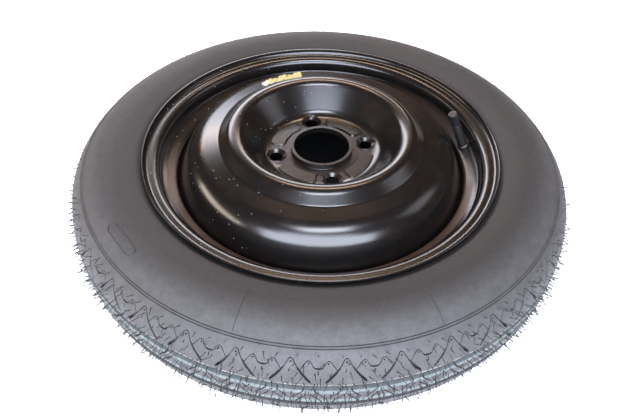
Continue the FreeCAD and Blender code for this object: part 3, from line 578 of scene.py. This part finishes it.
class OuterLine:
    # The tyre's outer line by distance along it from the crown, upper half, mirrored for the lower.

    def __init__(self, corners):
        points, ways = bentLine(corners[::-1], 3.0)
        self.points = np.array(points)
        self.out = np.array([turnedLeft(w) for w in ways]) * -1.0
        steps = np.linalg.norm(np.diff(self.points, axis=0), axis=1)
        self.run = np.concatenate(((0.0,), np.cumsum(steps))) + np.arange(len(points)) * 1e-9
        self.length = float(self.run[-1])

    def at(self, run, lift):
        far = np.abs(run)
        side = np.where(run < 0, -1.0, 1.0)
        across = np.interp(far, self.run, self.points[:, 0]) + lift * np.interp(far, self.run, self.out[:, 0])
        up = np.interp(far, self.run, self.points[:, 1]) + lift * np.interp(far, self.run, self.out[:, 1])
        return across, up * side


outerLine = OuterLine(tyreSizes["crown"])


def treadMarks():
    # Every mark as an outline in (along, run), with its depth, pitch length and turn.
    crown = tyreSizes["crown"][-1][0]
    marks = []
    for side in (1, -1):
        for group, count, turn in ((shoulderMarks, tyreSizes["pitches"], tyreSizes["chevronTurn"]),
                                   (ribMarks, tyreSizes["ribPitches"], tyreSizes["ribTurn"])):
            pitch = 2 * math.pi * crown / count
            shift = pitch / 2 if group is ribMarks and side < 0 else 0.0
            for path, widths, depth in group:
                outline = strokeOutline([(x + shift, y * side) for x, y in path], widths)
                marks.append((outline, depth, pitch, math.radians(turn)))
    return marks, crown


def treadTriangles():
    # The tread laid out flat as a ring, so that it has no seam, then cut along the edges of its marks.
    s = tyreSizes
    marks, crown = treadMarks()
    edge, low, high = s["treadEdge"], s["grooveLow"], s["grooveHigh"]
    loops = [ring(crown + run, s["around"]) for run in (-edge, edge)]
    loops += [ring(crown + run, s["around"]) for run in (-high, -low, low, high)]
    for outline, depth, pitch, turn in marks:
        for k in range(round(2 * math.pi * crown / pitch)):
            angle = turn + (outline[:, 0] + k * pitch) / crown
            reach = crown + outline[:, 1]
            loops.append(np.stack((reach * np.cos(angle), reach * np.sin(angle)), 1))
    rows = np.arange(-edge + s["rowsFrom"], edge - s["rowsTo"], s["rowStep"])
    spots = np.concatenate([ring(crown + run, s["around"]) for run in rows])
    points, triangles = triangulated(loops, spots)
    centres = points[triangles].mean(1)
    run = np.hypot(centres[:, 0], centres[:, 1]) - crown
    angle = np.arctan2(centres[:, 1], centres[:, 0])
    depth = np.where((np.abs(run) > low) & (np.abs(run) < high), s["grooveDepth"], 0.0)
    for outline, deep, pitch, turn in marks:
        along = ((angle - turn) * crown) % pitch
        for shift in (-pitch, 0.0, pitch):
            depth = np.maximum(depth, np.where(insideOutline(outline, along + shift, run), deep, 0.0))
    kept = (run > -edge * 0.9999) & (run < edge * 0.9999)
    return points, triangles[kept], depth[kept], crown


def steppedMesh(points, triangles, depth, crown):
    # Land at full height, marks sunk to their depth, and walls between neighbours of different depth.
    depth = np.round(depth, 3)
    index, places, levels = {}, [], {}

    def corner(v, level):
        key = (int(v), float(level))
        if key not in index:
            index[key] = len(places)
            places.append(key)
            levels.setdefault(key[0], []).append(key[1])
        return index[key]

    faces, edges = [], {}
    for triangle, level in zip(triangles, depth):
        faces.append(tuple(corner(v, level) for v in triangle))
        for a, b in zip(triangle, np.roll(triangle, -1)):
            edges.setdefault((min(a, b), max(a, b)), []).append((int(a), int(b), float(level)))
    for sides in edges.values():
        if len(sides) != 2 or sides[0][2] == sides[1][2]:
            continue
        a, b, first = sides[0]
        second = sides[1][2]
        low, high = min(first, second), max(first, second)
        downB = [corner(b, z) for z in sorted(levels[b]) if low <= z <= high]
        downA = [corner(a, z) for z in sorted(levels[a]) if low <= z <= high]
        faces.append(tuple(downA + downB[::-1]))
    run = np.array([np.hypot(*points[v]) - crown for v, level in places])
    angle = np.array([math.atan2(points[v][1], points[v][0]) for v, level in places])
    across, up = outerLine.at(run, -np.array([level for v, level in places]))
    return np.stack((across * np.cos(angle), across * np.sin(angle), up), 1), faces, run


def makeTyre():
    s = tyreSizes
    vertices, faces, run = steppedMesh(*treadTriangles())
    steps = list(np.arange(s["treadEdge"], outerLine.length, s["lineStep"])) + [outerLine.length]
    lifts = {step: 0.0 for step in steps}
    for ridge in s["ridges"]:
        for offset, lift in s["ridgeShape"]:
            lifts[ridge + offset * s["ridgeWidth"]] = lift * s["ridgeHeight"]
    places = sorted(lifts)
    wall = np.stack(outerLine.at(np.array(places), np.array([lifts[p] for p in places])), 1).tolist()
    inside = [list(p) for p in bentLine(s["liner"], s["linerStep"])[0]]
    upper = wall + inside
    outline = upper + [(across, -up) for across, up in reversed(upper[:-1])]
    start = len(vertices)
    allVertices = np.concatenate((vertices, spunGrid(outline, s["around"])))
    faces = faces + [tuple(start + i for i in f) for f in spunFaces(len(outline), s["around"], False)]
    places = np.array(places + [wallRunEnd] * len(inside))
    wallRun = np.tile(np.concatenate((places, places[-2::-1])), s["around"])
    treadRun = np.concatenate((run, wallRun))
    piece = finishedPiece("mouldedTyre", allVertices, faces, rubber, s["sharp"], {"treadRun": treadRun})
    standFor(piece, "tyre")


makeTyre()


# Moulded marks that stand up from the upper sidewall: a capsule outline and two mould seams, by radius and turn.
wallMarks = {"height": 0.7, "capsuleRadius": 252.7, "capsuleTurn": 220.5, "capsuleHalf": 24.0, "capsuleWide": 4.9,
             "seams": [(225.0, 268.0, 254.5), (238.0, 269.5, 295.5)], "seamShare": 0.5, "seamSteps": 16,
             "wallFrom": 45.0, "sharp": 50.0}


def onWall(radius, turn):
    # Point of the upper sidewall at a radius and a turn in degrees.
    beyond = outerLine.points[outerLine.points[:, 1] > wallMarks["wallFrom"]]
    up = np.interp(radius, beyond[::-1, 0], beyond[::-1, 1])
    return np.array((radius * math.cos(math.radians(turn)), radius * math.sin(math.radians(turn)), up))


def tube(path, radius, closed, sides=6):
    # Thin closed tube along a path of points.
    path = np.array(path)
    ways = np.roll(path, -1, axis=0) - np.roll(path, 1, axis=0) if closed else np.gradient(path, axis=0)
    ways /= np.linalg.norm(ways, axis=1)[:, None]
    first = np.cross(ways, (0.0, 0.0, 1.0))
    first /= np.linalg.norm(first, axis=1)[:, None]
    second = np.cross(ways, first)
    turns = np.arange(sides) * 2 * math.pi / sides
    rows = path[:, None] + radius * (np.cos(turns)[None, :, None] * first[:, None]
                                     + np.sin(turns)[None, :, None] * second[:, None])
    count = len(path)
    faces = [(i * sides + j, i * sides + (j + 1) % sides, (i + 1) % count * sides + (j + 1) % sides,
              (i + 1) % count * sides + j) for i in range(count if closed else count - 1) for j in range(sides)]
    if not closed:
        faces += [tuple(range(sides)), tuple((count - 1) * sides + j for j in range(sides))]
    return rows.reshape(-1, 3), faces


def makeWallMarks():
    s = wallMarks
    capsule = []
    for side, start in ((1, -90), (-1, 90)):
        for angle in arcAngles(start, 180):
            along = side * (s["capsuleHalf"] - s["capsuleWide"]) + s["capsuleWide"] * math.cos(angle)
            turn = s["capsuleTurn"] + math.degrees(along / s["capsuleRadius"])
            capsule.append(onWall(s["capsuleRadius"] + s["capsuleWide"] * math.sin(angle), turn))
    tubes = [tube(capsule, s["height"], True)]
    for inner, outer, turn in s["seams"]:
        path = [onWall(radius, turn) for radius in np.linspace(inner, outer, s["seamSteps"])]
        tubes.append(tube(path, s["height"] * s["seamShare"], False))
    vertices, faces = [], []
    for spots, sides in tubes:
        faces += [tuple(len(vertices) + i for i in f) for f in sides]
        vertices += spots.tolist()
    runs = np.full(len(vertices), wallRunEnd)
    piece = finishedPiece("mouldMarks", vertices, faces, rubber, s["sharp"], {"treadRun": runs})
    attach(piece, "wheel")
    print("mould marks made")


makeWallMarks()


# Vent hairs: rubber whiskers left by the mould's air holes, in rows given as run in mm and count.
hairSizes = {"rows": ((3.0, 240), (8.6, 220), (19.6, 260), (27.0, 160), (33.0, 120), (42.0, 110), (49.0, 110)),
             "jitter": 0.4, "length": 5.5, "spread": 6.5, "width": 0.46, "lean": 0.5, "wander": 0.8, "seed": 7,
             "sides": 4, "segments": 2, "tipShare": 0.55}


def hairRoots():
    # Places and outward directions in metres, jittered along each row.
    s = hairSizes
    chance = np.random.default_rng(s["seed"])
    places, outs = [], []
    for row, around in s["rows"]:
        for side in (1, -1):
            run = side * (row + chance.uniform(-s["wander"], s["wander"], around))
            turn = np.arange(around) + chance.uniform(-s["jitter"], s["jitter"], around) + 0.5 * (side < 0)
            turn = turn * 2 * math.pi / around + row
            low, high = outerLine.at(run, np.zeros(around)), outerLine.at(run, np.ones(around))
            for k in range(around):
                cosine, sine = math.cos(turn[k]), math.sin(turn[k])
                places.append((low[0][k] * cosine * mm, low[0][k] * sine * mm, low[1][k] * mm + midPlane))
                across = high[0][k] - low[0][k]
                outs.append((across * cosine, across * sine, high[1][k] - low[1][k]))
    return places, outs


def hairTree(material):
    tree = bpy.data.node_groups.new("ventHairs", "GeometryNodeTree")
    tree.interface.new_socket("Geometry", in_out="INPUT", socket_type="NodeSocketGeometry")
    for name in ("Shortest", "Longest", "Width", "Lean"):
        tree.interface.new_socket(name, in_out="INPUT", socket_type="NodeSocketFloat")
    tree.interface.new_socket("Seed", in_out="INPUT", socket_type="NodeSocketInt")
    tree.interface.new_socket("Geometry", in_out="OUTPUT", socket_type="NodeSocketGeometry")
    given = addNode(tree, "NodeGroupInput").outputs
    outward = addNode(tree, "GeometryNodeInputNamedAttribute", {"Name": "outward"}, data_type="FLOAT_VECTOR")
    wobble = addNode(tree, "FunctionNodeRandomValue", {0: (-1.0, -1.0, -1.0), 1: (1.0, 1.0, 1.0),
                                                       "Seed": given["Seed"]}, data_type="FLOAT_VECTOR")
    leaned = addNode(tree, "ShaderNodeVectorMath", {0: wobble.outputs[0], "Scale": given["Lean"]}, operation="SCALE")
    way = addNode(tree, "ShaderNodeVectorMath", {0: outward.outputs[0], 1: leaned.outputs[0]}, operation="ADD")
    turn = addNode(tree, "FunctionNodeAlignRotationToVector", {"Vector": way.outputs[0]}, axis="Z")
    length = addNode(tree, "FunctionNodeRandomValue", {2: given["Shortest"], 3: given["Longest"],
                                                       "Seed": given["Seed"]}, data_type="FLOAT")
    size = addNode(tree, "ShaderNodeCombineXYZ", {"X": given["Width"], "Y": given["Width"], "Z": length.outputs[1]})
    hair = addNode(tree, "GeometryNodeMeshCone", {"Vertices": hairSizes["sides"],
                                                  "Side Segments": hairSizes["segments"],
                                                  "Radius Top": hairSizes["tipShare"], "Radius Bottom": 1.0,
                                                  "Depth": 1.0})
    placed = addNode(tree, "GeometryNodeInstanceOnPoints", {"Points": given["Geometry"],
                                                            "Instance": hair.outputs["Mesh"],
                                                            "Rotation": turn.outputs[0], "Scale": size.outputs[0]})
    real = addNode(tree, "GeometryNodeRealizeInstances", {"Geometry": placed.outputs[0]})
    dressed = addNode(tree, "GeometryNodeSetMaterial", {"Geometry": real.outputs[0], "Material": material})
    addNode(tree, "NodeGroupOutput", {"Geometry": dressed.outputs[0]})
    return tree


def makeHairs():
    s = hairSizes
    places, outs = hairRoots()
    mesh = bpy.data.meshes.new("hairRoots")
    mesh.from_pydata(places, [], [])
    layer = mesh.attributes.new("outward", "FLOAT_VECTOR", "POINT")
    layer.data.foreach_set("vector", np.array(outs, np.float32).ravel())
    roots = bpy.data.objects.new("hairRoots", mesh)
    bpy.context.scene.collection.objects.link(roots)
    tree = hairTree(small["whiskerRubberPaintedLit"])
    grow = roots.modifiers.new("grow", "NODES")
    grow.node_group = tree
    values = {"Shortest": s["length"] * mm, "Longest": (s["length"] + s["spread"]) * mm, "Width": s["width"] * mm,
              "Lean": s["lean"], "Seed": s["seed"]}
    for socket in tree.interface.items_tree:
        if socket.in_out == "INPUT" and socket.name in values:
            grow[socket.identifier] = values[socket.name]
    seen = roots.evaluated_get(bpy.context.evaluated_depsgraph_get())
    grown = bpy.data.meshes.new_from_object(seen)
    bpy.data.objects.remove(roots)
    piece = bpy.data.objects.new("ventHairs", grown)
    bpy.context.scene.collection.objects.link(piece)
    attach(piece, "wheel")
    print("vent hairs:", len(places))


makeHairs()


# Torn printed paper: yellow, frayed white at its torn end, with dark spots where it has peeled. Its fibres are drawn
# coarser than they are, so that they show.
paperLook = {"colour": "#9b8f57", "fibre": "#b5b0a2", "spot": "#1c1712", "spotSpacing": 4.6, "spotSize": 0.2,
             "spotFade": 0.34, "spotShare": 0.45, "grain": 1.6, "grainDepth": 0.05, "tornFrom": 0.94, "tornTo": 1.02,
             "tornWander": 0.28, "roughness": 0.6}


def makePaper():
    s = paperLook
    material, tree, place = newMaterial("tornYellowPaper")
    grain = addNode(tree, "ShaderNodeTexNoise", {"Vector": place, "Scale": perMillimetre(s["grain"]), "Detail": 5.0})
    torn = addNode(tree, "ShaderNodeAttribute", attribute_name="torn").outputs["Fac"]
    shaken = addNode(tree, "ShaderNodeMath", {0: grain, 1: s["tornWander"], 2: torn}, operation="MULTIPLY_ADD")
    bare = addNode(tree, "ShaderNodeMapRange", {0: shaken, 1: s["tornFrom"], 2: s["tornTo"]})
    colour = addNode(tree, "ShaderNodeMix", {0: bare, 6: linear(s["colour"]), 7: linear(s["fibre"])},
                     data_type="RGBA")
    spot = addNode(tree, "ShaderNodeTexVoronoi", {"Vector": place, "Scale": perMillimetre(s["spotSpacing"])})
    near = addNode(tree, "ShaderNodeMapRange", {0: spot, 1: s["spotSize"], 2: s["spotFade"], 3: 1.0, 4: 0.0})
    chance = addNode(tree, "ShaderNodeSeparateColor", {0: spot.outputs["Color"]})
    kept = addNode(tree, "ShaderNodeMapRange", {0: chance, 1: 1.0 - s["spotShare"], 2: 1.02 - s["spotShare"]})
    dark = addNode(tree, "ShaderNodeMath", {0: near, 1: kept}, operation="MULTIPLY")
    colour = addNode(tree, "ShaderNodeMix", {0: dark, 6: colour, 7: linear(s["spot"])}, data_type="RGBA")
    bump = addNode(tree, "ShaderNodeBump", {"Height": grain, "Strength": 1.0, "Distance": s["grainDepth"] * mm})
    shader = addNode(tree, "ShaderNodeBsdfPrincipled", {"Base Color": colour, "Roughness": s["roughness"],
                                                        "Normal": bump})
    addNode(tree, "ShaderNodeOutputMaterial", {"Surface": shader})
    return material


# Torn label on the disc's shoulder: radii in mm, turns in degrees, right end first. A wave is how fast and from where.
labelSizes = {"start": 103.5, "sweep": 25.0, "inner": 119.9, "outer": 133.5, "narrowing": 4.0, "columns": 90,
              "rows": 7, "thick": 0.16, "lift": 0.12, "curl": 3.4, "ragged": 2.0, "raggedFrom": 0.75,
              "frayLeast": 0.35, "frayMore": 1.3, "innerShare": 0.3, "curlShares": (0.55, 0.3, 0.15), "sharp": 40.0,
              "lowWaves": ((23.0, 1.0), (61.0, 0.0)), "highWaves": ((37.0, 0.4), (11.0, 2.0)),
              "curlWaves": ((17.0, 0.6), (53.0, 0.0)), "shoulder": 3}  # the shoulder's place in the disc's line


def makeLabel():
    s = labelSizes
    top, bottom, torn = [], [], []
    evenCurl, slowCurl, fastCurl = s["curlShares"]
    (nearAcross, nearUp), (farAcross, farUp) = (c[:2] for c in discSizes["line"][s["shoulder"]:s["shoulder"] + 2])
    slope = (farUp - nearUp) / (farAcross - nearAcross)
    half = discSizes["gauge"] / 2 * math.hypot(1.0, slope)
    for i in range(s["columns"] + 1):
        u = i / s["columns"]
        turn = math.radians(s["start"] + s["sweep"] * u)
        lowA, lowB, highA, highB, curlA, curlB = (
            math.sin(speed * u + shift) for speed, shift in s["lowWaves"] + s["highWaves"] + s["curlWaves"])
        tornEnd = max(0.0, u - s["raggedFrom"])
        frays = s["ragged"] * (s["frayLeast"] + s["frayMore"] * tornEnd / (1.0 - s["raggedFrom"]))
        low = s["inner"] + s["narrowing"] * s["innerShare"] * u + frays * lowA * lowB
        high = s["outer"] - s["narrowing"] * u - frays * abs(highA * highB)
        curl = s["curl"] * (evenCurl + slowCurl * curlA + fastCurl * curlB)
        for j in range(s["rows"] + 1):
            v = j / s["rows"]
            radius = low + (high - low) * v
            level = nearUp + (radius - nearAcross) * slope + half + s["lift"] + curl * v * v
            top.append((radius * math.cos(turn), radius * math.sin(turn), level + s["thick"]))
            bottom.append((radius * math.cos(turn), radius * math.sin(turn), level))
            torn.append(u)
    wide = s["rows"] + 1
    count = len(top)
    faces = []
    for i in range(s["columns"]):
        for j in range(s["rows"]):
            a = i * wide + j
            faces.append((a, a + 1, a + wide + 1, a + wide))
            faces.append((count + a, count + a + wide, count + a + wide + 1, count + a + 1))
    last = s["columns"] * wide
    edge = list(range(wide)) + list(range(2 * wide - 1, last + wide, wide))
    edge += list(range(last + wide - 2, last - 1, -1)) + list(range(last - wide, 0, -wide))
    faces += [(a, b, count + b, count + a) for a, b in zip(edge, edge[1:] + edge[:1])]
    piece = finishedPiece("tornLabel", top + bottom, faces, makePaper(), s["sharp"], {"torn": torn + torn})
    standFor(piece, "label_remnant")


makeLabel()


# Floor, camera and world. The glow keeps the ground pale, as in the photograph.
stageLook = {"floor": "#f4f4f6", "shade": "#101014", "glow": 0.45, "shadeReach": 0.21, "shadeFade": 0.03,
             "floorReach": 6.0, "floorRoughness": 0.75, "lens": 33.75, "sensor": 36.0, "rise": 45.21,
             "distance": 0.708, "roll": 2.17, "aim": (0.0009, -0.0503), "world": "#6b5545", "worldStrength": 1.1}

# Area lights that face the origin: place in m, width, height, watts and colour.
lightLooks = {
    "frontDoorway": ((0.0, -2.4, 0.95), 4.2, 1.9, 400, "#e6eeff"),
    "frontHigh": ((0.15, -1.05, 2.6), 1.3, 0.7, 75, "#eaf0ff"),
    "frontBand": ((0.0, -1.75, 1.82), 2.2, 0.45, 34, "#dfe9ff"),
    "leftWindow": ((-0.8, 2.5, 1.3), 2.0, 1.0, 50, "#e4edff"),
    "leftStrip": ((-2.4, -0.4, 0.55), 2.0, 0.6, 40, "#fff0dd"),
    "backWall": ((-0.6, 2.7, 1.6), 3.4, 0.3, 42, "#ffdfc8"),
    "backStrip": ((0.0, 1.4, 2.42), 1.1, 0.4, 28, "#ffdcbc"),
    "rightCard": ((2.3, 0.2, 1.7), 1.2, 1.0, 9, "#f2f4ff"),
}


def makeFloor():
    # Pale ground in strong light, dark where the wheel shuts the light out.
    s = stageLook
    material, tree, place = newMaterial("paleFloor")
    away = addNode(tree, "ShaderNodeVectorMath", {0: place}, operation="LENGTH")
    openShare = addNode(tree, "ShaderNodeMapRange", {0: away, 1: s["shadeReach"],
                                                     2: s["shadeReach"] + s["shadeFade"]})
    colour = addNode(tree, "ShaderNodeMix", {0: openShare, 6: linear(s["shade"]), 7: linear(s["floor"])},
                     data_type="RGBA")
    glow = addNode(tree, "ShaderNodeMapRange", {0: openShare, 4: s["glow"]})
    shader = addNode(tree, "ShaderNodeBsdfPrincipled", {"Base Color": colour, "Roughness": s["floorRoughness"],
                                                        "Emission Color": linear(s["floor"]),
                                                        "Emission Strength": glow})
    addNode(tree, "ShaderNodeOutputMaterial", {"Surface": shader})
    mesh = bpy.data.meshes.new("floor")
    corners = [(x * s["floorReach"], y * s["floorReach"], 0.0) for x, y in ((-1, -1), (1, -1), (1, 1), (-1, 1))]
    mesh.from_pydata(corners, [], [(0, 1, 2, 3)])
    mesh.materials.append(material)
    floor = bpy.data.objects.new("floor", mesh)
    floor.location = (0.0, 0.0, tyreLow.z)
    bpy.context.scene.collection.objects.link(floor)


def makeLight(name):
    place, width, height, power, colour = lightLooks[name]
    lamp = bpy.data.lights.new(name, "AREA")
    lamp.shape = "RECTANGLE"
    lamp.size, lamp.size_y = width, height
    lamp.energy = power
    lamp.color = linear(colour)[:3]
    light = bpy.data.objects.new(name, lamp)
    bpy.context.scene.collection.objects.link(light)
    light.location = place
    light.rotation_euler = (-Vector(place)).to_track_quat("-Z", "Y").to_euler()


def makeCamera():
    s = stageLook
    camera = bpy.data.cameras.new("camera")
    camera.lens = s["lens"]
    camera.sensor_width = s["sensor"]
    holder = bpy.data.objects.new("camera", camera)
    bpy.context.scene.collection.objects.link(holder)
    rise = math.radians(s["rise"])
    back = Vector((0.0, -math.cos(rise), math.sin(rise)))
    right = Vector((1.0, 0.0, 0.0))
    up = back.cross(right)
    turn = Matrix((right, up, back)).transposed().to_4x4() @ Matrix.Rotation(math.radians(s["roll"]), 4, "Z")
    eye = Vector((s["aim"][0], s["aim"][1], midPlane)) + back * s["distance"]
    holder.matrix_world = Matrix.Translation(eye) @ turn
    bpy.context.scene.camera = holder


makeFloor()
for lightName in lightLooks:
    makeLight(lightName)
makeCamera()
world = bpy.data.worlds.new("studio")
bpy.context.scene.world = world
world.use_nodes = True
world.node_tree.nodes["Background"].inputs["Color"].default_value = linear(stageLook["world"])
world.node_tree.nodes["Background"].inputs["Strength"].default_value = stageLook["worldStrength"]
bpy.context.scene.view_settings.view_transform = "Standard"
print("stage, lights and camera set")
